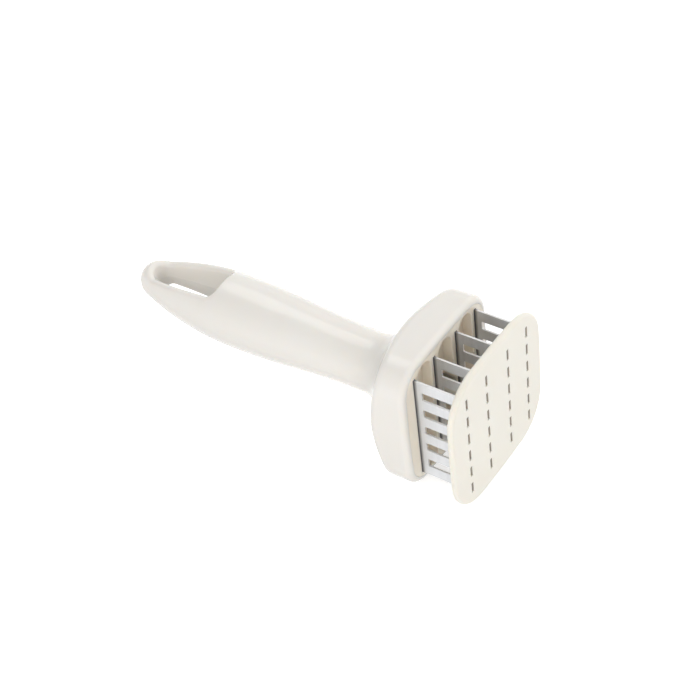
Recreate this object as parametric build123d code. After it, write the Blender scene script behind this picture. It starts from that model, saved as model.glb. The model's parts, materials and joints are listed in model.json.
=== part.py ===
from build123d import *
import os
from math import cos, pi, radians, sin, sqrt, tan

# Blade-type meat tenderizer. A round handle with a hanging loop ends in a rounded square head, four comb
# blades stand out of the head, and a sprung press plate covers their points until it is pushed back.
# X runs along the tool and out through the press plate, Y across the blade rows, Z along them.
# Every piece is drawn in that straight frame from the plate's front face, then the tool is laid on a table.
# Lengths are in millimetres.

# Press plate
PLATE_OVERHANG = 2.0  # plate past the side of the head
PLATE_BOW = 1.4  # how far the middle of a side stands out past its ends
PLATE_CORNER = 20.0
PLATE_THICK = 3.3
PLATE_EDGE = 1.4  # rounding of the outer edges
BOSS_R = 6.2  # socket on the plate's back for the plunger rod
BOSS_LENGTH = 3.4
SOCKET_FLOOR = 2.0  # plate left in front of the socket

# Comb blades
ROW_MIDDLE = 17.6  # between the two inner blades
ROW_EDGE = 10.1  # outer blade from the side of the head
TEETH = 6
TOOTH_PITCH = 10.0
TOOTH_WIDTH = 5.5
TOOTH_POINT = 2.4  # length of the ground point
TIP_COVER = 0.7  # tips behind the plate's front face at rest
TIP_EDGE = 0.15  # thickness left at the ground tip
BLADE_THICK = 0.9
BLADE_WEB = 3.5  # uncut strip between the head and the windows
BLADE_ROOT = 9.8  # depth of the blade in the carrier
BLADE_MARGIN = 4.05  # blade's end from the wall of the head's mouth
WINDOW_ROUND = 0.6
PIN_R = 1.25
PIN_INSET = 7.5  # pin centre from the blade's end
PIN_COVER = 2.2  # pin centre from the blade's root edge

# Head and blade carrier
HEAD_BOW = 1.0
HEAD_CORNER = 13.6
HEAD_SIDE = 18.0  # depth of the head at the middle of a side
HEAD_WALL = 3.0
HEAD_FRONT_EDGE = 2.8
HEAD_BACK_EDGE = 4.0
BACK_SLOPE = 26.0  # degrees that the head's back tapers towards the neck
CARRIER_THICK = 11.0
POCKET_SIDE = 2.65  # pocket's side from the outer blade
POCKET_RIM = 1.6  # carrier left past a pocket's arch
POCKET_DEPTH = 5.0
POCKET_EDGE = 0.5
CARRIER_HOLE_R = 6.6
LUG_WIDTH = 9.0  # snap lugs that hold the carrier
LUG_LENGTH = 3.0
LUG_HEIGHT = 0.9
LUG_BACK = 1.5  # lug's lead-in edge from the carrier's back

# Handle
NECK_R = 14.1
NECK_FILLET = 17.0
NECK_STRAIGHT = 0.4  # between the head's blend and the start of the swell
BELLY_R = 17.3
BELLY_PLACE = 138.0
TOOL_LENGTH = 197.0
NOSE_R = 9.2
LOOP_START = 148.2
LOOP_HALF = 6.95  # at mid height
LOOP_STRAIGHT = 8.0
LOOP_NOSE_R = 4.6
LOOP_END_WALL = 9.5
LOOP_CORNER = 2.0
LOOP_DRAFT = 10.0  # degrees that the hole opens towards both its ends
LOOP_RIM = 2.1

# Plunger, bush and return spring
TRAVEL = 18.0  # how far the plate can be pushed back
ROD_R = 5.0
ROD_SPIGOT_R = 3.2  # front end, in the plate's socket
COLLAR_R = 6.2
COLLAR_LENGTH = 2.5
TAIL_R = 3.7  # rear end, inside the spring
TAIL_LENGTH = 10.0
TAIL_CHAMFER = 1.0
BORE_R = 6.6
FLANGE_R = 9.5
FLANGE_THICK = 2.0
BUSH_LENGTH = 8.0
SPRING_LENGTH = 36.0
SPRING_R = 4.9  # coil axis to wire centre
WIRE_R = 0.5
SPRING_TURNS = 12
SPRING_EASE = 0.49  # how much closer the end turns are wound

# Clearances
TOOTH_END_PLAY = 0.2  # tooth in its plate slot, along the row
TOOTH_SIDE_PLAY = 0.3
BLADE_SIDE_PLAY = 0.4  # blade in its carrier slot
BLADE_END_PLAY = 0.15
PIN_PLAY = 0.1
FIT = 0.1  # fixed piece in its seat
RUNNING = 0.05  # rod in its bush
STOP_GAP = 0.1  # collar from the bush at rest
WEB_GAP = 0.4  # plate from the blades' uncut strips when it is pushed right back
REST_STEP = 0.001  # degrees, how closely the lying angle is found

# Sizes and places across the tool
TOOTH_PLACES = [(i - (TEETH - 1) / 2) * TOOTH_PITCH for i in range(TEETH)]
BLADE_HEIGHT = (TEETH - 1) * TOOTH_PITCH + TOOTH_WIDTH
PIN_Z = BLADE_HEIGHT / 2 - PIN_INSET
HEAD_HALF = BLADE_HEIGHT / 2 + BLADE_MARGIN + HEAD_WALL
PLATE_HALF = HEAD_HALF + PLATE_OVERHANG
ROW_OUTER = HEAD_HALF - ROW_EDGE
ROWS = [-ROW_OUTER, -ROW_MIDDLE / 2, ROW_MIDDLE / 2, ROW_OUTER]
POCKET_WIDTH = ROW_OUTER - ROW_MIDDLE / 2 - 2 * POCKET_SIDE
POCKET_REACH = HEAD_HALF - HEAD_WALL - POCKET_RIM

# Places along X that the pieces share
HEAD_FACE = -PLATE_THICK - TRAVEL - WEB_GAP - BLADE_WEB
CARRIER_BACK = HEAD_FACE - CARRIER_THICK
BLADE_END = HEAD_FACE - BLADE_ROOT
WINDOW_START = HEAD_FACE + BLADE_WEB
PIN_X = BLADE_END + PIN_COVER
BUSH_END = CARRIER_BACK - BUSH_LENGTH
COLLAR_FRONT = BUSH_END - STOP_GAP
SPRING_FRONT = COLLAR_FRONT - COLLAR_LENGTH
SPRING_SEAT = SPRING_FRONT - SPRING_LENGTH
TAPER_RISE = tan(radians(BACK_SLOPE))
TAPER_TIP = HEAD_FACE - HEAD_SIDE - HEAD_HALF * TAPER_RISE
TAPER_MEETS_NECK = TAPER_TIP + NECK_R * TAPER_RISE
BLEND_END = TAPER_MEETS_NECK - NECK_FILLET * tan(radians(90 - BACK_SLOPE) / 2)
NECK_END = BLEND_END - NECK_STRAIGHT


def across(x):
    """Plane square to the tool's axis at x, with Y to the right and Z up."""
    return Plane.YZ.offset(x)


def cushion(half, bow, corner):
    """Square face with four slightly bowed sides and rounded corners."""
    end = half - bow
    corners = [(end, -end), (end, end), (-end, end), (-end, -end)]
    middles = [(half, 0), (0, half), (-half, 0), (0, -half)]
    sides = [ThreePointArc(corners[i], middles[i], corners[(i + 1) % 4]) for i in range(4)]
    face = make_face(Curve() + sides)
    return fillet(face.vertices(), corner)


def turned(*steps):
    """Solid of revolution about the tool's axis from (start, end, radius) steps."""
    solid = Part()
    for start, end, radius in steps:
        solid += extrude(across(start) * Circle(radius), amount=end - start)
    return solid


def press_plate():
    """Slotted plate with rounded edges and the rod's socket on its back."""
    plate = extrude(across(0) * cushion(PLATE_HALF, PLATE_BOW, PLATE_CORNER), amount=-PLATE_THICK)
    plate = fillet(plate.edges().filter_by(Plane.YZ), PLATE_EDGE)
    plate += turned((-PLATE_THICK, -PLATE_THICK - BOSS_LENGTH, BOSS_R))
    plate -= turned((-SOCKET_FLOOR, -PLATE_THICK - BOSS_LENGTH, ROD_SPIGOT_R + RUNNING))
    slot = Rectangle(BLADE_THICK + 2 * TOOTH_SIDE_PLAY, TOOTH_WIDTH + 2 * TOOTH_END_PLAY)
    slots = Sketch() + [Pos(y, z) * slot for y in ROWS for z in TOOTH_PLACES]
    return plate - extrude(across(0) * slots, amount=-PLATE_THICK)


def comb_outline():
    """Blade seen from the side: root and web in one strip, then the pointed teeth."""
    top = BLADE_HEIGHT / 2
    shoulder = -TIP_COVER - TOOTH_POINT
    outline = [(BLADE_END, -top)]
    for z in TOOTH_PLACES:
        low = z - TOOTH_WIDTH / 2
        high = z + TOOTH_WIDTH / 2
        if z > TOOTH_PLACES[0]:
            outline.append((WINDOW_START, low))
        outline += [(shoulder, low), (-TIP_COVER, z), (shoulder, high)]
        if z < TOOTH_PLACES[-1]:
            outline.append((WINDOW_START, high))
    outline.append((BLADE_END, top))
    face = make_face(Polyline(*outline, close=True))
    roots = [v for v in face.vertices() if abs(v.X - WINDOW_START) < WINDOW_ROUND / 2]
    return fillet(roots, WINDOW_ROUND)


def blade_row(y):
    """Comb blade in its row, its teeth ground to a point and an edge, with two pin holes in the root."""
    blade = extrude(Plane.XZ * comb_outline(), amount=BLADE_THICK / 2, both=True)
    half = BLADE_THICK / 2
    edge = TIP_EDGE / 2
    shoulder = -TIP_COVER - TOOTH_POINT
    section = Polyline(
        (BLADE_END, -half),
        (shoulder, -half),
        (-TIP_COVER, -edge),
        (-TIP_COVER, edge),
        (shoulder, half),
        (BLADE_END, half),
        close=True,
    )
    blade &= extrude(make_face(section), amount=BLADE_HEIGHT, both=True)
    for z in (-PIN_Z, PIN_Z):
        blade -= Pos(PIN_X, 0, z) * Rot(90, 0, 0) * Cylinder(PIN_R + PIN_PLAY, BLADE_THICK * 2)
    return Pos(0, y, 0) * blade


def cavity_sizes(gap):
    """Outline sizes of the head's mouth, drawn in by a gap for what sits in it."""
    inset = HEAD_WALL + gap
    return HEAD_HALF - inset, HEAD_BOW, HEAD_CORNER - inset


def snap_lugs(grow):
    """Four wedges on the carrier's sides, or their larger seats in the head."""
    reach = HEAD_HALF - HEAD_WALL - FIT
    back = CARRIER_BACK + LUG_BACK - grow
    front = CARRIER_BACK + LUG_BACK + LUG_LENGTH + grow
    wedge = Polyline(
        (back, reach - HEAD_BOW),
        (front, reach - HEAD_BOW),
        (front, reach + LUG_HEIGHT + grow),
        (back, reach + grow),
        close=True,
    )
    lug = extrude(make_face(wedge), amount=LUG_WIDTH / 2 + grow, both=True)
    return Part() + [Rot(90 * i, 0, 0) * lug for i in range(4)]


def pin_bar(radius, z, length):
    """Round bar across the blade rows."""
    return Pos(PIN_X, 0, z) * Rot(90, 0, 0) * Cylinder(radius, length)


def blade_carrier():
    """Insert that fills the head's mouth: arched pockets, blade slots, pin holes and the rod's hole."""
    carrier = extrude(across(HEAD_FACE) * cushion(*cavity_sizes(FIT)), amount=-CARRIER_THICK)
    pocket = Rot(0, 0, 90) * SlotOverall(2 * POCKET_REACH, POCKET_WIDTH)
    middles = [(ROWS[i] + ROWS[i + 1]) / 2 for i in range(len(ROWS) - 1)]
    pockets = Sketch() + [Pos(y, 0) * pocket for y in middles]
    carrier -= extrude(across(HEAD_FACE) * pockets, amount=-POCKET_DEPTH)
    rims = carrier.faces().sort_by(Axis.X)[-1].inner_wires()
    carrier = fillet(rims.edges(), POCKET_EDGE)
    slot = Rectangle(BLADE_THICK + 2 * BLADE_SIDE_PLAY, BLADE_HEIGHT + 2 * BLADE_END_PLAY)
    slots = Sketch() + [Pos(y, 0) * slot for y in ROWS]
    carrier -= extrude(across(HEAD_FACE) * slots, amount=-BLADE_ROOT)
    carrier -= turned((HEAD_FACE, CARRIER_BACK, CARRIER_HOLE_R))
    for z in (-PIN_Z, PIN_Z):
        carrier -= pin_bar(PIN_R + PIN_PLAY, z, 2 * HEAD_HALF)
    return carrier + snap_lugs(0)


def blade_pin(z):
    """Steel pin through the four blade roots, held in by the head's wall."""
    return pin_bar(PIN_R, z, 2 * (HEAD_HALF - HEAD_WALL - HEAD_BOW))


def tail_arc(peak, nose_place, nose_r):
    """Where an arc that is level at a peak runs smoothly into a nose circle centred on the axis."""
    run = peak[0] - nose_place
    arc_r = (run**2 + peak[1] ** 2 - nose_r**2) / (2 * (peak[1] - nose_r))
    share = nose_r / (arc_r - nose_r)
    return nose_place - run * share, (arc_r - peak[1]) * share


def handle_outline():
    """Half outline of the handle from the neck over the belly to the rounded tail."""
    neck = (NECK_END, NECK_R)
    belly = (-BELLY_PLACE, BELLY_R)
    middle = ((neck[0] + belly[0]) / 2, (neck[1] + belly[1]) / 2)
    shoulder = tail_arc(belly, NOSE_R - TOOL_LENGTH, NOSE_R)
    tail = (-TOOL_LENGTH, 0)
    front = (CARRIER_BACK, NECK_R)
    return make_face(
        Curve()
        + [
            Line((CARRIER_BACK, 0), front),
            Line(front, neck),
            TangentArc(neck, middle, tangent=(-1, 0)),
            TangentArc(belly, middle, tangent=(1, 0)),
            TangentArc(belly, shoulder, tangent=(-1, 0)),
            TangentArc(tail, shoulder, tangent=(0, 1)),
            Line(tail, (CARRIER_BACK, 0)),
        ]
    )


def loop_outline():
    """Hanging hole seen from above: straight across at the front, drawn in to a round end at the tail."""
    nose_place = LOOP_END_WALL + LOOP_NOSE_R - TOOL_LENGTH
    widest = (-LOOP_START - LOOP_STRAIGHT, LOOP_HALF)
    shoulder = tail_arc(widest, nose_place, LOOP_NOSE_R)
    tip = (LOOP_END_WALL - TOOL_LENGTH, 0)
    corner = (-LOOP_START, LOOP_HALF)
    side = Curve() + [
        Line(corner, widest),
        TangentArc(widest, shoulder, tangent=(-1, 0)),
        TangentArc(tip, shoulder, tangent=(0, 1)),
    ]
    face = make_face(side + mirror(side, about=Plane.XZ) + Line(corner, (corner[0], -corner[1])))
    fronts = [v for v in face.vertices() if v.X > -LOOP_START - LOOP_CORNER]
    return fillet(fronts, LOOP_CORNER)


def grip():
    """Round handle with its hanging loop, without the head."""
    handle = revolve(handle_outline(), Axis.X)
    hole = extrude(loop_outline(), amount=2 * BELLY_R, both=True, taper=-LOOP_DRAFT)
    looped = handle - hole
    rim = new_edges(handle, hole, combined=looped).filter_by(Axis.Z, reverse=True)
    return fillet(rim, LOOP_RIM)


def head_block():
    """Rounded square head with a tapered back and soft edges, still without its cavity."""
    outline = cushion(HEAD_HALF, HEAD_BOW, HEAD_CORNER)
    head = extrude(across(HEAD_FACE) * outline, amount=TAPER_TIP - HEAD_FACE)
    rim = (HEAD_FACE, (HEAD_FACE - TAPER_TIP) / TAPER_RISE)
    head &= revolve(make_face(Polyline((TAPER_TIP, 0), rim, (HEAD_FACE, 0), close=True)), Axis.X)
    head = fillet(head.faces().sort_by(Axis.X)[0].outer_wire().edges(), HEAD_BACK_EDGE)
    return fillet(head.faces().sort_by(Axis.X)[-1].outer_wire().edges(), HEAD_FRONT_EDGE)


def handle_body(head, handle):
    """One moulded piece: the handle blended into the head, hollowed for the carrier, bush and spring."""
    joined = head + handle
    body = fillet(new_edges(head, handle, combined=joined), NECK_FILLET)
    body -= extrude(across(HEAD_FACE) * cushion(*cavity_sizes(0)), amount=-CARRIER_THICK)
    body -= snap_lugs(FIT)
    body -= turned(
        (CARRIER_BACK, CARRIER_BACK - FLANGE_THICK, FLANGE_R + FIT),
        (CARRIER_BACK, SPRING_SEAT, BORE_R),
    )
    return body


def guide_bush():
    """Flanged sleeve that guides the rod and stops its collar."""
    bush = turned(
        (CARRIER_BACK, CARRIER_BACK - FLANGE_THICK, FLANGE_R),
        (CARRIER_BACK, BUSH_END, BORE_R - FIT),
    )
    return bush - turned((CARRIER_BACK, BUSH_END, ROD_R + RUNNING))


def plunger_rod():
    """Guide rod: spigot in the plate's socket, shaft, stop collar and a tail that steadies the spring."""
    shaft_front = -PLATE_THICK - BOSS_LENGTH
    tail_end = SPRING_FRONT - TAIL_LENGTH
    rod = turned(
        (shaft_front - BOSS_LENGTH, -SOCKET_FLOOR - STOP_GAP, ROD_SPIGOT_R),
        (shaft_front, COLLAR_FRONT, ROD_R),
        (COLLAR_FRONT, SPRING_FRONT, COLLAR_R),
        (SPRING_FRONT, tail_end, TAIL_R),
    )
    return chamfer(rod.faces().sort_by(Axis.X)[0].edges(), TAIL_CHAMFER)


def spring_point(turn):
    """Wire centre after a number of turns, wound closer at both ends."""
    share = turn / SPRING_TURNS
    eased = share - SPRING_EASE * sin(2 * pi * share) / (2 * pi)
    x = SPRING_SEAT + WIRE_R + (SPRING_LENGTH - 2 * WIRE_R) * eased
    return Vector(x, SPRING_R * cos(2 * pi * turn), SPRING_R * sin(2 * pi * turn))


def spring_heading(turn):
    """Direction of the wire after a number of turns."""
    share = turn / SPRING_TURNS
    rise = (SPRING_LENGTH - 2 * WIRE_R) / SPRING_TURNS * (1 - SPRING_EASE * cos(2 * pi * share))
    around = 2 * pi * SPRING_R
    return Vector(rise, -around * sin(2 * pi * turn), around * cos(2 * pi * turn)).normalized()


def biarc(start, heading, end, end_heading):
    """Two arcs that leave the start and reach the end along the given headings."""
    chord = end - start
    both = heading + end_heading
    spread = 2 * (1 - heading.dot(end_heading))
    reach = (sqrt(chord.dot(both) ** 2 + spread * chord.dot(chord)) - chord.dot(both)) / spread
    first = start + heading * reach
    second = end - end_heading * reach
    joint = (first + second) * 0.5
    return [TangentArc(start, joint, tangent=heading), TangentArc(joint, end, tangent=second - first)]


def return_spring():
    """Coil spring between the bore's end and the rod's collar, one unbroken wire."""
    quarters = [i / 4 for i in range(4 * SPRING_TURNS + 1)]
    wire = []
    for a, b in zip(quarters, quarters[1:]):
        wire += biarc(spring_point(a), spring_heading(a), spring_point(b), spring_heading(b))
    path = Wire(wire)
    section = Plane(spring_point(0), z_dir=spring_heading(0)) * Circle(WIRE_R)
    return sweep(section, path=path)


def spring_gap():
    """Least clear distance between neighbouring turns, measured on points along the wire."""
    steps = 48
    points = [spring_point(i / steps) for i in range(SPRING_TURNS * steps + 1)]
    gaps = []
    for i, point in enumerate(points):
        later = points[i + steps // 2 :]
        gaps += [(point - other).length for other in later[: steps + 1]]
    return min(gaps) - 2 * WIRE_R


def lowest(solid, angle):
    """Height of a solid's lowest point with the tool tipped nose up by an angle in degrees."""
    return (Rot(0, -angle, 0) * solid).bounding_box().min.Z


def rest_angle(head, handle):
    """Nose-up angle at which the head's lower edge and the handle's underside touch one table."""
    low, high = 0.0, 30.0
    while high - low > REST_STEP:
        angle = (low + high) / 2
        if lowest(head, angle) < lowest(handle, angle):
            low = angle
        else:
            high = angle
    return high


head = head_block()
handle = grip()
pieces = {
    "handle_body": handle_body(head, handle),
    "blade_carrier": blade_carrier(),
    "blade_pin_upper": blade_pin(PIN_Z),
    "blade_pin_lower": blade_pin(-PIN_Z),
    "guide_bush": guide_bush(),
    "return_spring": return_spring(),
    "plunger_rod": plunger_rod(),
    "press_plate": press_plate(),
}
for number, row in enumerate(ROWS, start=1):
    pieces[f"blade_row_{number}"] = blade_row(row)

# Laid down on the head's lower edge and the handle, with the origin under the middle of the tool's box
angle = rest_angle(head, handle)
tip = Rot(0, -angle, 0)
tipped = Compound(children=[tip * pieces["press_plate"], tip * pieces["handle_body"]])
box = tipped.bounding_box()
lay = Pos(-box.center().X, -box.center().Y, -box.min.Z) * tip

os.makedirs("parts", exist_ok=True)
for name, piece in pieces.items():
    export_step(lay * piece, f"parts/{name}.step")

face_centre = (lay * Pos(0, 0, 0)).position
print("rest angle", angle)
print("press face centre", face_centre)
print("spring gap to itself", spring_gap())
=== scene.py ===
"""Looks of a blade-type meat tenderizer: its finishes, a wound coil, a studio and a camera."""

import json
import logging
from dataclasses import dataclass
from enum import Enum
from functools import cache
from math import atan2, cos, radians, sin, tau
from typing import Optional, Union

import bpy
from mathutils import Matrix, Vector


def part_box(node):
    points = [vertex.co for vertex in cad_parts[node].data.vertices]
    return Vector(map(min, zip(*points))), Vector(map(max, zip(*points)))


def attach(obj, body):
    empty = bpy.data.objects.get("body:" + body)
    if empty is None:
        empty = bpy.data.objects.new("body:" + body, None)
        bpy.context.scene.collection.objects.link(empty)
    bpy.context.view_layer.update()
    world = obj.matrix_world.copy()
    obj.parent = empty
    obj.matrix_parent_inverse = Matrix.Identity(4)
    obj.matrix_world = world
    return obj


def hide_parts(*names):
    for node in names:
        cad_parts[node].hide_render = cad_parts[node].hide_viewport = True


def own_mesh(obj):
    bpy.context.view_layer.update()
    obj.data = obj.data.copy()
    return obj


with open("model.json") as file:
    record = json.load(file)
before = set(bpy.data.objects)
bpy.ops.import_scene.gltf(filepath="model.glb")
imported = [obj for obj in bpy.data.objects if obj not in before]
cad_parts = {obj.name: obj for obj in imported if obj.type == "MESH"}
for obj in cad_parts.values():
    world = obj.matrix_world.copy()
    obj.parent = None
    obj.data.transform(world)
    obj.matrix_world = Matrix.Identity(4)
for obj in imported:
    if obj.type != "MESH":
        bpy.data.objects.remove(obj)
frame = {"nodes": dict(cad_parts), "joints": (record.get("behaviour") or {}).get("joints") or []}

log = logging.getLogger("meat_tenderizer")

Span = tuple[float, float]
Triple = tuple[float, float, float]
Socket = bpy.types.NodeSocket
Source = Union[Socket, float, Triple]

RISING: Span = (0.0, 1.0)
FALLING: Span = (1.0, 0.0)
OUTWARD: Triple = (1.0, 0.0, 0.0)


class Grain(Enum):
    """Which way the marks of grinding run on a steel piece, as stretch along X, Y and Z."""

    ALONG_ROWS = (30.0, 30.0, 1.0)
    ROUND = (8.0, 8.0, 8.0)


class Rays(Enum):
    """What a lamp gives: only soft light without a highlight, or only the highlight."""

    SOFT = "soft"
    SHINE = "shine"


def reach(node: str, direction: Vector) -> float:
    """Give how far a CAD node reaches along a direction, in metres."""
    return max(direction.dot(vertex.co) for vertex in frame["nodes"][node].data.vertices)


@dataclass(frozen=True)
class Lying:
    """How the tool's own straight frame lies in the CAD frame.

    In the straight frame X runs out through the press plate from its front face, Y across the blade rows
    and Z along them, in metres.
    """

    angle: float
    face: Triple

    @classmethod
    def read(cls) -> "Lying":
        """Read the straight frame from the joint of the press plate and from the plate's front.

        Returns:
            The straight frame.
        """
        joint = next(joint for joint in frame["joints"] if joint["name"] == "plate_press")
        outward = -Vector(joint["axis"]).normalized()
        on_axis = Vector(joint["deforming_nodes"][0]["fixed_end_m"])
        face = on_axis + outward * (reach("press_plate", outward) - outward.dot(on_axis))
        return cls(atan2(outward.z, outward.x), tuple(face))

    def heading(self, direction: Triple) -> Vector:
        """Turn a direction of the straight frame into the CAD frame.

        Args:
            direction: a direction along the straight frame's axes.

        Returns:
            The same direction along the CAD frame's axes.
        """
        x, y, z = direction
        run, rise = cos(self.angle), sin(self.angle)
        return Vector((x * run - z * rise, y, x * rise + z * run))

    def place(self, point: Triple) -> Vector:
        """Move a point of the straight frame into the CAD frame."""
        return self.heading(point) + Vector(self.face)


@dataclass(frozen=True)
class Rows:
    """Where the blade rows are, half a blade's thickness, and the head's face along the axis, in metres."""

    outer: float
    inner: float
    half_thick: float
    head_face: float

    @classmethod
    def read(cls, lying: Lying) -> "Rows":
        """Read the rows from two blades on one side, and the head's face from the carrier.

        Args:
            lying: how the tool lies.

        Returns:
            The places.
        """
        (low, high), (inner_low, inner_high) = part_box("blade_row_1"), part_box("blade_row_2")
        return cls(
            outer=abs(low.y + high.y) / 2.0,
            inner=abs(inner_low.y + inner_high.y) / 2.0,
            half_thick=(high.y - low.y) / 2.0,
            head_face=reach("blade_carrier", lying.heading(OUTWARD)),
        )


LYING = Lying.read()
ROWS = Rows.read(LYING)


class Board:
    """A node tree with short calls to add and join its nodes."""

    def __init__(self, tree: bpy.types.NodeTree) -> None:
        """Take over a tree and clear it."""
        self.tree = tree
        tree.nodes.clear()

    def add(self, kind: str, **settings: object) -> bpy.types.Node:
        """Add a node.

        Args:
            kind: the node's type name.
            **settings: properties to set on it.

        Returns:
            The new node.
        """
        node = self.tree.nodes.new(kind)
        for name, value in settings.items():
            setattr(node, name, value)
        return node

    def feed(self, socket: Socket, source: Source) -> None:
        """Link a socket to an output, or set its value.

        Args:
            socket: the input to feed.
            source: an output socket, a number or a triple.
        """
        if isinstance(source, Socket):
            self.tree.links.new(source, socket)
        elif isinstance(source, tuple) and socket.type == "RGBA":
            socket.default_value = (*source, 1.0)
        else:
            socket.default_value = source

    def math(self, operation: str, *sources: Source) -> Socket:
        """Add a Math node.

        Args:
            operation: the node's operation.
            *sources: its inputs, in order.

        Returns:
            Its output.
        """
        node = self.add("ShaderNodeMath", operation=operation)
        for socket, source in zip(node.inputs, sources):
            self.feed(socket, source)
        return node.outputs[0]

    def ramp(self, value: Source, span: Span, result: Span = RISING) -> Socket:
        """Map a value smoothly from one range to another.

        Args:
            value: the value to map.
            span: where the ramp starts and ends.
            result: what it gives there.

        Returns:
            The mapped value.
        """
        node = self.add("ShaderNodeMapRange", interpolation_type="SMOOTHSTEP")
        for socket, source in zip(node.inputs, (value, *span, *result)):
            self.feed(socket, source)
        return node.outputs[0]

    def noise(self, vector: Source, scale: Source, detail: float, rough: float = 0.5) -> Socket:
        """Add a Noise texture.

        Args:
            vector: its coordinates.
            scale: its scale.
            detail: its number of finer layers.
            rough: how strong the finer layers are.

        Returns:
            Its value, about 0 to 1.
        """
        node = self.add("ShaderNodeTexNoise")
        inputs = {"Vector": vector, "Scale": scale, "Detail": detail, "Roughness": rough}
        for name, source in inputs.items():
            self.feed(node.inputs[name], source)
        return node.outputs["Fac"]

    def straight(self, vector: Source, scale: Triple = (1.0, 1.0, 1.0)) -> Socket:
        """Turn coordinates along the straight frame's axes and stretch them.

        Args:
            vector: the coordinates.
            scale: factor along each axis.

        Returns:
            The turned and stretched coordinates.
        """
        turned = self.add("ShaderNodeMapping", vector_type="POINT")
        self.feed(turned.inputs["Vector"], vector)
        self.feed(turned.inputs["Rotation"], (0.0, LYING.angle, 0.0))
        scaled = self.add("ShaderNodeMapping", vector_type="POINT")
        self.feed(scaled.inputs["Vector"], turned.outputs[0])
        self.feed(scaled.inputs["Scale"], scale)
        return scaled.outputs[0]

    def facing_across(self, result: Span, span: Span = (0.5, 0.8)) -> Socket:
        """Tell faces that look across the blade rows from all others.

        Args:
            result: what other faces give, and what such faces give.
            span: how much a face looks across, from the first to the second.

        Returns:
            The mask.
        """
        facing = self.add("ShaderNodeSeparateXYZ")
        self.feed(facing.inputs[0], self.add("ShaderNodeNewGeometry").outputs["True Normal"])
        return self.ramp(self.math("ABSOLUTE", facing.outputs["Y"]), span, result)

    def blend(self, share: Source, first: Source, second: Source) -> Socket:
        """Mix two colours.

        Args:
            share: how much of the second colour.
            first: the first colour.
            second: the second colour.

        Returns:
            The mixed colour.
        """
        node = self.add("ShaderNodeMix", data_type="RGBA")
        self.feed(node.inputs["Factor"], share)
        colours = [socket for socket in node.inputs if socket.type == "RGBA"]
        for socket, source in zip(colours, (first, second)):
            self.feed(socket, source)
        return next(socket for socket in node.outputs if socket.type == "RGBA")

    def bump(self, height: Source, strength: float, distance: float) -> Socket:
        """Raise a surface by a height.

        Args:
            height: the height, about 0 to 1.
            strength: share of the effect.
            distance: how far a height of 1 stands out, in metres.

        Returns:
            The normal.
        """
        node = self.add("ShaderNodeBump")
        inputs = {"Strength": strength, "Distance": distance, "Height": height}
        for name, source in inputs.items():
            self.feed(node.inputs[name], source)
        return node.outputs["Normal"]

    def group(self, tree: bpy.types.NodeTree, vector: Source) -> bpy.types.Node:
        """Place an effect's node group.

        Args:
            tree: the group.
            vector: its coordinates.

        Returns:
            The group's node.
        """
        node = self.add("ShaderNodeGroup", node_tree=tree)
        self.feed(node.inputs["Vector"], vector)
        return node


def new_group(name: str, values: tuple[str, ...], outputs: tuple[str, ...]) -> tuple[Board, dict, dict]:
    """Start a shader node group that has coordinates as its first input.

    Args:
        name: the group's name.
        values: names of its other inputs, all numbers.
        outputs: names of its outputs, all numbers.

    Returns:
        A board on the group, the sockets that it is given and the sockets of its result, by name.
    """
    tree = bpy.data.node_groups.new(name, "ShaderNodeTree")
    tree.interface.new_socket("Vector", in_out="INPUT", socket_type="NodeSocketVector")
    for socket in values:
        tree.interface.new_socket(socket, in_out="INPUT", socket_type="NodeSocketFloat")
    for socket in outputs:
        tree.interface.new_socket(socket, in_out="OUTPUT", socket_type="NodeSocketFloat")
    board = Board(tree)
    return board, board.add("NodeGroupInput").outputs, board.add("NodeGroupOutput").inputs


@dataclass(frozen=True)
class MouldedSkin:
    """Skin of moulded plastic: slow clouding, faint wiped streaks and fine orange peel.

    A span is the levels of noise from which and up to which a mark shows.
    """

    name: str = "moulded_skin"
    cloud_span: Span = (0.3, 0.7)
    hair_stretch: Triple = (60.0, 900.0, 900.0)
    hair_span: Span = (0.52, 0.7)
    patch_scale: float = 45.0
    patch_span: Span = (0.45, 0.75)

    @cache
    def tree(self) -> bpy.types.NodeTree:
        """Build the node group, once.

        Returns:
            The node group.
        """
        scales, marks = ("Cloud Scale", "Peel Scale"), ("Cloud", "Rub", "Height")
        board, given, result = new_group(self.name, scales, marks)
        cloud = board.noise(given["Vector"], given["Cloud Scale"], detail=3.0)
        hair = board.noise(board.straight(given["Vector"], self.hair_stretch), 1.0, detail=2.0, rough=0.6)
        patch = board.noise(given["Vector"], self.patch_scale, detail=2.0)
        wiped = (board.ramp(hair, self.hair_span), board.ramp(patch, self.patch_span))
        board.feed(result["Cloud"], board.ramp(cloud, self.cloud_span))
        board.feed(result["Rub"], board.math("MULTIPLY", *wiped))
        board.feed(result["Height"], board.noise(given["Vector"], given["Peel Scale"], detail=1.0))
        return board.tree


@dataclass(frozen=True)
class GroundSteel:
    """Ground and polished steel: fine lines one way and a soft stain, which is coarser by stain_scale."""

    name: str = "ground_steel"
    line_span: Span = (0.3, 0.7)
    stain_scale: float = 0.08
    stain_span: Span = (0.35, 0.75)

    @cache
    def tree(self) -> bpy.types.NodeTree:
        """Build the node group, once.

        Returns:
            The node group.
        """
        board, given, result = new_group(self.name, ("Line Scale",), ("Line", "Stain", "Height"))
        fine = board.noise(given["Vector"], given["Line Scale"], detail=4.0, rough=0.65)
        line = board.ramp(fine, self.line_span)
        coarse = board.math("MULTIPLY", given["Line Scale"], self.stain_scale)
        stain = board.noise(given["Vector"], coarse, detail=2.0)
        board.feed(result["Line"], line)
        board.feed(result["Stain"], board.ramp(stain, self.stain_span))
        board.feed(result["Height"], line)
        return board.tree


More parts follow.
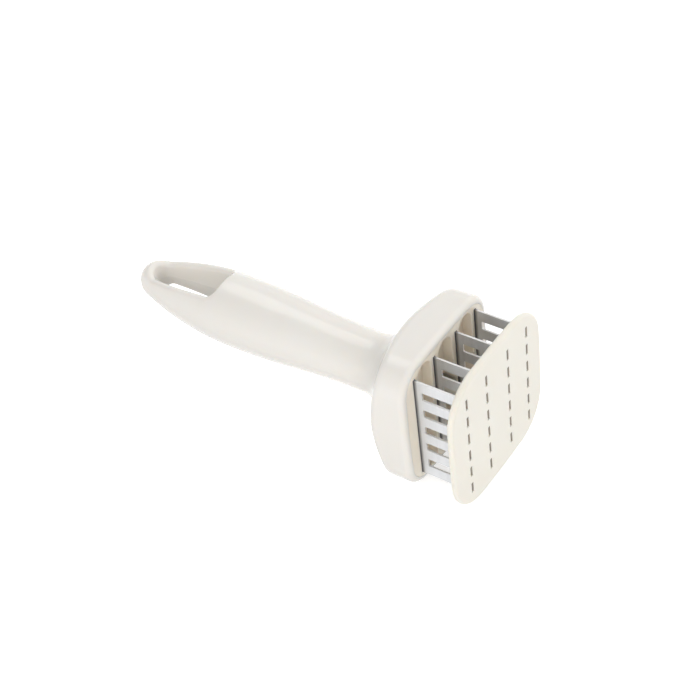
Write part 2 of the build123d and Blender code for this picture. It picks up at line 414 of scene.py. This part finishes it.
@dataclass(frozen=True)
class SlotShade:
    """Painted shade of the blade slots: on walls beside a blade row, and where a blade goes into the head.

    beside is from a blade's face to where the shade of a wall fades, over fade. root_start and root_end are
    from the head's face. Lengths are in metres.
    """

    name: str = "slot_shade"
    beside: float = 0.00045
    fade: float = 0.0003
    root_start: float = 0.0002
    root_end: float = 0.0018

    @cache
    def tree(self) -> bpy.types.NodeTree:
        """Build the node group, once.

        Returns:
            The node group.
        """
        board, given, result = new_group(self.name, (), ("Painted Wall Shade", "Painted Root Shade"))
        place = board.add("ShaderNodeSeparateXYZ")
        board.feed(place.inputs[0], board.straight(given["Vector"]))
        across = board.math("ABSOLUTE", place.outputs["Y"])
        outer = board.math("ABSOLUTE", board.math("SUBTRACT", across, ROWS.outer))
        inner = board.math("ABSOLUTE", board.math("SUBTRACT", across, ROWS.inner))
        wall = ROWS.half_thick + self.beside
        near = board.ramp(board.math("MINIMUM", outer, inner), (wall, wall + self.fade), FALLING)
        painted_root_shade = (ROWS.head_face + self.root_start, ROWS.head_face + self.root_end)
        # Painted shade: walls beside a blade row are darkened
        board.feed(result["Painted Wall Shade"], board.math("MULTIPLY", near, board.facing_across(RISING)))
        # Painted shade: a dark line on a blade where it goes into the head
        board.feed(result["Painted Root Shade"], board.ramp(place.outputs["X"], painted_root_shade, FALLING))
        return board.tree


SKIN = MouldedSkin()
GROUND = GroundSteel()
SLOTS = SlotShade()


def new_material(name: str) -> tuple[bpy.types.Material, Board, bpy.types.Node]:
    """Start a material with a Principled shader.

    Args:
        name: the material's name.

    Returns:
        The material, a board on its tree, and the shader node.
    """
    material = bpy.data.materials.new(name)
    material.use_nodes = True
    board = Board(material.node_tree)
    shader = board.add("ShaderNodeBsdfPrincipled")
    board.feed(board.add("ShaderNodeOutputMaterial").inputs["Surface"], shader.outputs["BSDF"])
    return material, board, shader


@dataclass(frozen=True)
class Plastic:
    """A moulded plastic finish; colours are linear, and any colour in the blade slots is painted shade.

    gloss is the roughness, to which clouding and wiped streaks add a little. peel is the height of the
    orange peel and depth_scale how far light goes in, in metres.
    """

    name: str
    base: Triple
    cloud: Triple
    gloss: float
    painted_slot_shade: Optional[Triple] = None
    cloud_scale: float = 28.0
    cloud_rough: float = 0.05
    rub_rough: float = 0.05
    peel: float = 0.00001
    peel_scale: float = 1400.0
    peel_strength: float = 0.35
    ior: float = 1.49
    depth: float = 0.4
    depth_radius: Triple = (1.0, 0.8, 0.6)
    depth_scale: float = 0.002

    @cache
    def material(self) -> bpy.types.Material:
        """Make the finish's material, once.

        Returns:
            The material.
        """
        material, board, shader = new_material(self.name)
        where = board.add("ShaderNodeTexCoord").outputs["Object"]
        skin = board.group(SKIN.tree(), where)
        board.feed(skin.inputs["Cloud Scale"], self.cloud_scale)
        board.feed(skin.inputs["Peel Scale"], self.peel_scale)
        colour = board.blend(skin.outputs["Cloud"], self.base, self.cloud)
        # Painted shade: a darker colour on the walls beside a blade row
        if self.painted_slot_shade:
            slots = board.group(SLOTS.tree(), where)
            colour = board.blend(slots.outputs["Painted Wall Shade"], colour, self.painted_slot_shade)
        rough = board.math("MULTIPLY_ADD", skin.outputs["Cloud"], self.cloud_rough, self.gloss)
        rough = board.math("MULTIPLY_ADD", skin.outputs["Rub"], self.rub_rough, rough)
        normal = board.bump(skin.outputs["Height"], self.peel_strength, self.peel)
        board.feed(shader.inputs["Base Color"], colour)
        board.feed(shader.inputs["Roughness"], rough)
        board.feed(shader.inputs["Normal"], normal)
        board.feed(shader.inputs["IOR"], self.ior)
        board.feed(shader.inputs["Subsurface Weight"], self.depth)
        board.feed(shader.inputs["Subsurface Radius"], self.depth_radius)
        board.feed(shader.inputs["Subsurface Scale"], self.depth_scale)
        return material


@dataclass(frozen=True)
class Steel:
    """A ground steel finish; colours are linear, and the colour where a blade enters the head is painted
    shade.

    The colour of the cut edges is a painted highlight, lighter than the rest. Lines and cut edges add to
    the roughness, and line_depth is the height of the lines, in metres.
    """

    name: str
    base: Triple
    stain: Triple
    cut_highlight: Triple
    rough: float
    grain: Grain
    painted_root_shade: Optional[Triple] = None
    line_scale: float = 120.0
    line_rough: float = 0.08
    line_depth: float = 0.00001
    line_strength: float = 0.25
    cut_rough: float = 0.2

    @cache
    def material(self) -> bpy.types.Material:
        """Make the finish's material, once.

        Returns:
            The material.
        """
        material, board, shader = new_material(self.name)
        where = board.add("ShaderNodeTexCoord").outputs["Object"]
        steel = board.group(GROUND.tree(), board.straight(where, self.grain.value))
        board.feed(steel.inputs["Line Scale"], self.line_scale)
        cut = board.facing_across(FALLING)
        flat = board.blend(steel.outputs["Stain"], self.base, self.stain)
        # Painted highlight: the cut edges get a lighter colour
        colour = board.blend(cut, flat, self.cut_highlight)
        # Painted shade: a dark line on a blade where it goes into the head
        if self.painted_root_shade:
            slots = board.group(SLOTS.tree(), where)
            colour = board.blend(slots.outputs["Painted Root Shade"], colour, self.painted_root_shade)
        rough = board.math("MULTIPLY_ADD", steel.outputs["Line"], self.line_rough, self.rough)
        rough = board.math("MULTIPLY_ADD", cut, self.cut_rough, rough)
        normal = board.bump(steel.outputs["Height"], self.line_strength, self.line_depth)
        board.feed(shader.inputs["Base Color"], colour)
        board.feed(shader.inputs["Roughness"], rough)
        board.feed(shader.inputs["Normal"], normal)
        board.feed(shader.inputs["Metallic"], 1.0)
        return material


IVORY = Plastic("ivory_handle", base=(0.845, 0.82, 0.775), cloud=(0.83, 0.80, 0.75), gloss=0.11)
CREAM = Plastic(
    "cream_plate",
    base=(0.86, 0.83, 0.745),
    cloud=(0.85, 0.818, 0.73),
    gloss=0.30,
    # painted shade in the plate's slots
    painted_slot_shade=(0.48, 0.43, 0.38),
)
# The carrier is the same plastic as the handle. Its colour is lighter and warmer than the handle's as
# painted light, standing in for light bounced about between the head and the plate.
CARRIER_PAINTED_LIGHT = Plastic(
    "cream_carrier_painted_light",
    base=(0.95, 0.86, 0.74),
    cloud=(0.935, 0.84, 0.715),
    gloss=0.34,
    # painted shade in the carrier's slots
    painted_slot_shade=(0.30, 0.26, 0.22),
)
ROD_WHITE = Plastic("rod_white", base=(0.78, 0.76, 0.70), cloud=(0.75, 0.72, 0.66), gloss=0.34)
BUSH_GREY = Plastic("bush_grey", base=(0.60, 0.59, 0.55), cloud=(0.56, 0.55, 0.51), gloss=0.45)
BLADE = Steel(
    "ground_blade",
    base=(0.765, 0.775, 0.79),
    stain=(0.715, 0.725, 0.74),
    # a lighter colour on the cut edges: painted highlight
    cut_highlight=(0.84, 0.84, 0.84),
    rough=0.58,
    grain=Grain.ALONG_ROWS,
    # painted shade where a blade goes into the head
    painted_root_shade=(0.28, 0.28, 0.285),
)
WIRE = Steel(
    "spring_wire",
    base=(0.42, 0.42, 0.43),
    stain=(0.36, 0.36, 0.36),
    cut_highlight=(0.42, 0.42, 0.43),
    rough=0.30,
    grain=Grain.ROUND,
)
PIN = Steel(
    "pin_bar",
    base=(0.55, 0.55, 0.56),
    stain=(0.48, 0.48, 0.48),
    cut_highlight=(0.55, 0.55, 0.56),
    rough=0.28,
    grain=Grain.ROUND,
)


def dress(node: str, finish: Union[Plastic, Steel]) -> None:
    """Give a CAD node its finish.

    Args:
        node: the node's name.
        finish: the finish to wear.
    """
    mesh = frame["nodes"][node].data
    mesh.materials.clear()
    mesh.materials.append(finish.material())
    log.info("%s wears %s", node, finish.name)


@dataclass(frozen=True)
class Handle:
    """Handle with its hollow head, and the carrier that closes the head's mouth."""

    body: str = "handle_body"
    carrier: str = "blade_carrier"

    def build(self) -> None:
        """Dress the moulded pieces."""
        dress(self.body, IVORY)
        dress(self.carrier, CARRIER_PAINTED_LIGHT)


@dataclass(frozen=True)
class BladePack:
    """The comb blades and the two pins through their roots."""

    rows: int = 4
    pins: tuple[str, str] = ("blade_pin_upper", "blade_pin_lower")

    def build(self) -> None:
        """Dress the steel pieces."""
        for row in range(1, self.rows + 1):
            dress(f"blade_row_{row}", BLADE)
        for pin in self.pins:
            dress(pin, PIN)


@dataclass(frozen=True)
class PressPlate:
    """The slotted plate and its plunger rod."""

    plate: str = "press_plate"
    rod: str = "plunger_rod"

    def build(self) -> None:
        """Dress the plate and the rod."""
        dress(self.plate, CREAM)
        dress(self.rod, ROD_WHITE)


@dataclass(frozen=True)
class SpringDrive:
    """The guide bush, and the return spring in the handle's bore, which the plate closes up; wound here at
    rest.

    Lengths are in metres, along the straight frame. ease is how much closer the end turns are wound, and
    closed the share of its length that the spring keeps when the plate is pushed right back; it is not
    used.
    """

    bush: str = "guide_bush"
    spring: str = "return_spring"
    seat: float = -0.0828
    length: float = 0.036
    coil_radius: float = 0.0049
    wire_radius: float = 0.0005
    turns: int = 12
    ease: float = 0.49
    closed: float = 0.5
    points_a_turn: int = 16
    curve_order: int = 4
    steps_a_point: int = 3
    wire_rounding: int = 3
    smooth_angle: float = radians(40.0)

    def build(self) -> None:
        """Dress the bush, and wind the spring in place of its solid."""
        dress(self.bush, BUSH_GREY)
        coil = self.wind()
        coil.data.materials.append(WIRE.material())
        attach(coil, "tool")
        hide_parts(self.spring)
        axis = LYING.heading(OUTWARD)
        LYING.place((self.seat, 0.0, 0.0))
        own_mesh(coil)
        log.info("%s wears %s", coil.name, WIRE.name)

    def wire_point(self, turn: float, radius: float) -> Vector:
        """Give the wire's middle after a number of turns, wound closer at both ends.

        Args:
            turn: turns from the bore's end.
            radius: distance from the tool's axis.

        Returns:
            The point in the CAD frame.
        """
        share = turn / self.turns
        eased = share - self.ease * sin(tau * share) / tau
        along = self.seat + self.wire_radius + (self.length - 2.0 * self.wire_radius) * eased
        return LYING.place((along, radius * cos(tau * turn), radius * sin(tau * turn)))

    def wind(self) -> bpy.types.Object:
        """Wind the wire as a smooth curve with closed ends and make it a mesh.

        Returns:
            The coil's object.
        """
        bpy.ops.curve.primitive_nurbs_path_add()
        coil = bpy.context.object
        coil.name = "spring_coil"
        curve = coil.data
        curve.splines.clear()
        line = curve.splines.new("NURBS")
        line.points.add(self.turns * self.points_a_turn)
        # A cubic curve runs inside its points by this share of their radius
        drawn_in = (2.0 + cos(tau / self.points_a_turn)) / 3.0
        for index, point in enumerate(line.points):
            place = self.wire_point(index / self.points_a_turn, self.coil_radius / drawn_in)
            point.co = (*place, 1.0)
        line.order_u = self.curve_order
        line.use_endpoint_u = True
        line.resolution_u = self.steps_a_point
        curve.bevel_depth = self.wire_radius
        curve.bevel_resolution = self.wire_rounding
        curve.use_fill_caps = True
        bpy.ops.object.convert(target="MESH")
        bpy.ops.object.shade_smooth_by_angle(angle=self.smooth_angle)
        return bpy.context.object


@dataclass(frozen=True)
class Softbox:
    """A soft area lamp, with its place, aim and size in metres and its power in watts."""

    name: str
    place: Triple
    aim: Triple
    size: Span
    power: float
    rays: Rays

    def build(self) -> None:
        """Add the lamp."""
        bpy.ops.object.light_add(type="AREA", location=self.place)
        lamp = bpy.context.object
        lamp.name = self.name
        lamp.rotation_euler = (Vector(self.aim) - Vector(self.place)).to_track_quat("-Z", "Y").to_euler()
        lamp.data.shape = "RECTANGLE"
        lamp.data.size, lamp.data.size_y = self.size
        lamp.data.energy = self.power
        lamp.visible_glossy = self.rays is Rays.SHINE
        lamp.visible_diffuse = self.rays is Rays.SOFT


TOOL: Triple = (0.0, 0.0, 0.03)
HEAD: Triple = (0.05, 0.0, 0.03)
HANDLE_SIDE: Triple = (-0.65, 0.20, 0.0)
LAMPS = (
    Softbox("back_box", (0.2, 1.0, 0.7), HEAD, (1.4, 0.6), 10.0, Rays.SOFT),
    Softbox("near_box", (0.0, -0.8, 0.9), TOOL, (1.2, 0.5), 4.9, Rays.SOFT),
    Softbox("right_box", (0.75, -0.9, 0.35), HEAD, (0.7, 0.6), 3.8, Rays.SOFT),
    Softbox("left_box", (-0.9, -0.45, 0.6), TOOL, (0.6, 0.6), 0.65, Rays.SOFT),
    Softbox("top_card", (-0.82, 0.32, 0.95), HANDLE_SIDE, (0.6, 0.74), 2.4, Rays.SHINE),
)


@dataclass(frozen=True)
class Studio:
    """White floor, soft lamps, pale surroundings and the camera.

    The floor's lift makes it look white, and grows over lift_span, which is from the tool, in metres. The
    camera's place and directions are in the straight frame, and its lens and sensor in millimetres.
    """

    floor_size: float = 6.0
    floor_colour: Triple = (0.85, 0.85, 0.85)
    lift: Span = (0.5, 0.7)
    lift_span: Span = (0.6, 1.8)
    sky: Triple = (1.0, 1.0, 1.0)
    sky_strength: float = 0.4
    camera_place: Triple = (0.250873, -0.400698, 0.480229)
    camera_right: Triple = (0.8265, 0.5535, -0.1025)
    camera_down: Triple = (0.3174, -0.6087, -0.7271)
    camera_clip: float = 0.01
    lens: float = 80.87
    sensor: float = 36.0

    def build(self) -> None:
        """Make the stage."""
        self.floor()
        self.surroundings()
        for lamp in LAMPS:
            lamp.build()
        self.camera()

    def seen(self, board: Board) -> Socket:
        """Tell rays that show the background from rays that light the object.

        Args:
            board: the node tree to add to.

        Returns:
            1 for a ray of the camera, of a reflection or through a clear piece, else 0.
        """
        path = board.add("ShaderNodeLightPath")
        shown = board.math("MAXIMUM", path.outputs["Is Camera Ray"], path.outputs["Is Glossy Ray"])
        return board.math("MAXIMUM", shown, path.outputs["Is Transmission Ray"])

    def floor(self) -> None:
        """Lay the floor, which looks white and keeps a soft shadow."""
        bpy.ops.mesh.primitive_plane_add(size=self.floor_size, location=(0.0, 0.0, 0.0))
        floor = bpy.context.object
        floor.name = "floor"
        material = bpy.data.materials.new("floor_white")
        material.use_nodes = True
        board = Board(material.node_tree)
        paper = board.add("ShaderNodeBsdfDiffuse")
        board.feed(paper.inputs["Color"], self.floor_colour)
        away = board.add("ShaderNodeVectorMath", operation="LENGTH")
        board.feed(away.inputs[0], board.add("ShaderNodeTexCoord").outputs["Object"])
        lift = board.ramp(away.outputs["Value"], self.lift_span, self.lift)
        glow = board.add("ShaderNodeEmission")
        board.feed(glow.inputs["Strength"], board.math("MULTIPLY", self.seen(board), lift))
        both = board.add("ShaderNodeAddShader")
        board.feed(both.inputs[0], paper.outputs[0])
        board.feed(both.inputs[1], glow.outputs[0])
        board.feed(board.add("ShaderNodeOutputMaterial").inputs["Surface"], both.outputs[0])
        floor.data.materials.append(material)

    def surroundings(self) -> None:
        """Set surroundings that show as white and light the object less."""
        world = bpy.data.worlds.new("studio")
        bpy.context.scene.world = world
        world.use_nodes = True
        board = Board(world.node_tree)
        back = board.add("ShaderNodeBackground")
        board.feed(back.inputs["Color"], self.sky)
        more = 1.0 - self.sky_strength
        strength = board.math("MULTIPLY_ADD", self.seen(board), more, self.sky_strength)
        board.feed(back.inputs["Strength"], strength)
        board.feed(board.add("ShaderNodeOutputWorld").inputs["Surface"], back.outputs[0])

    def camera(self) -> None:
        """Set the camera where the photograph was taken from."""
        right = LYING.heading(self.camera_right).normalized()
        up = -LYING.heading(self.camera_down).normalized()
        back = right.cross(up).normalized()
        up = back.cross(right)
        turn = Matrix((right, up, back)).transposed()
        bpy.ops.object.camera_add(location=LYING.place(self.camera_place), rotation=turn.to_euler())
        camera = bpy.context.object
        camera.name = "photo_camera"
        camera.data.lens = self.lens
        camera.data.sensor_width = self.sensor
        camera.data.clip_start = self.camera_clip
        bpy.context.scene.camera = camera


def main() -> None:
    """Build the tool's looks in order."""
    logging.basicConfig(level=logging.INFO, format="%(name)s: %(message)s")
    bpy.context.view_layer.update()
    bpy.ops.object.select_all(action="DESELECT")
    bpy.context.scene.view_settings.view_transform = "Standard"
    for part in (Handle(), BladePack(), PressPlate(), SpringDrive(), Studio()):
        part.build()
        log.info("%s is built", type(part).__name__)


if __name__ == "__main__":
    main()
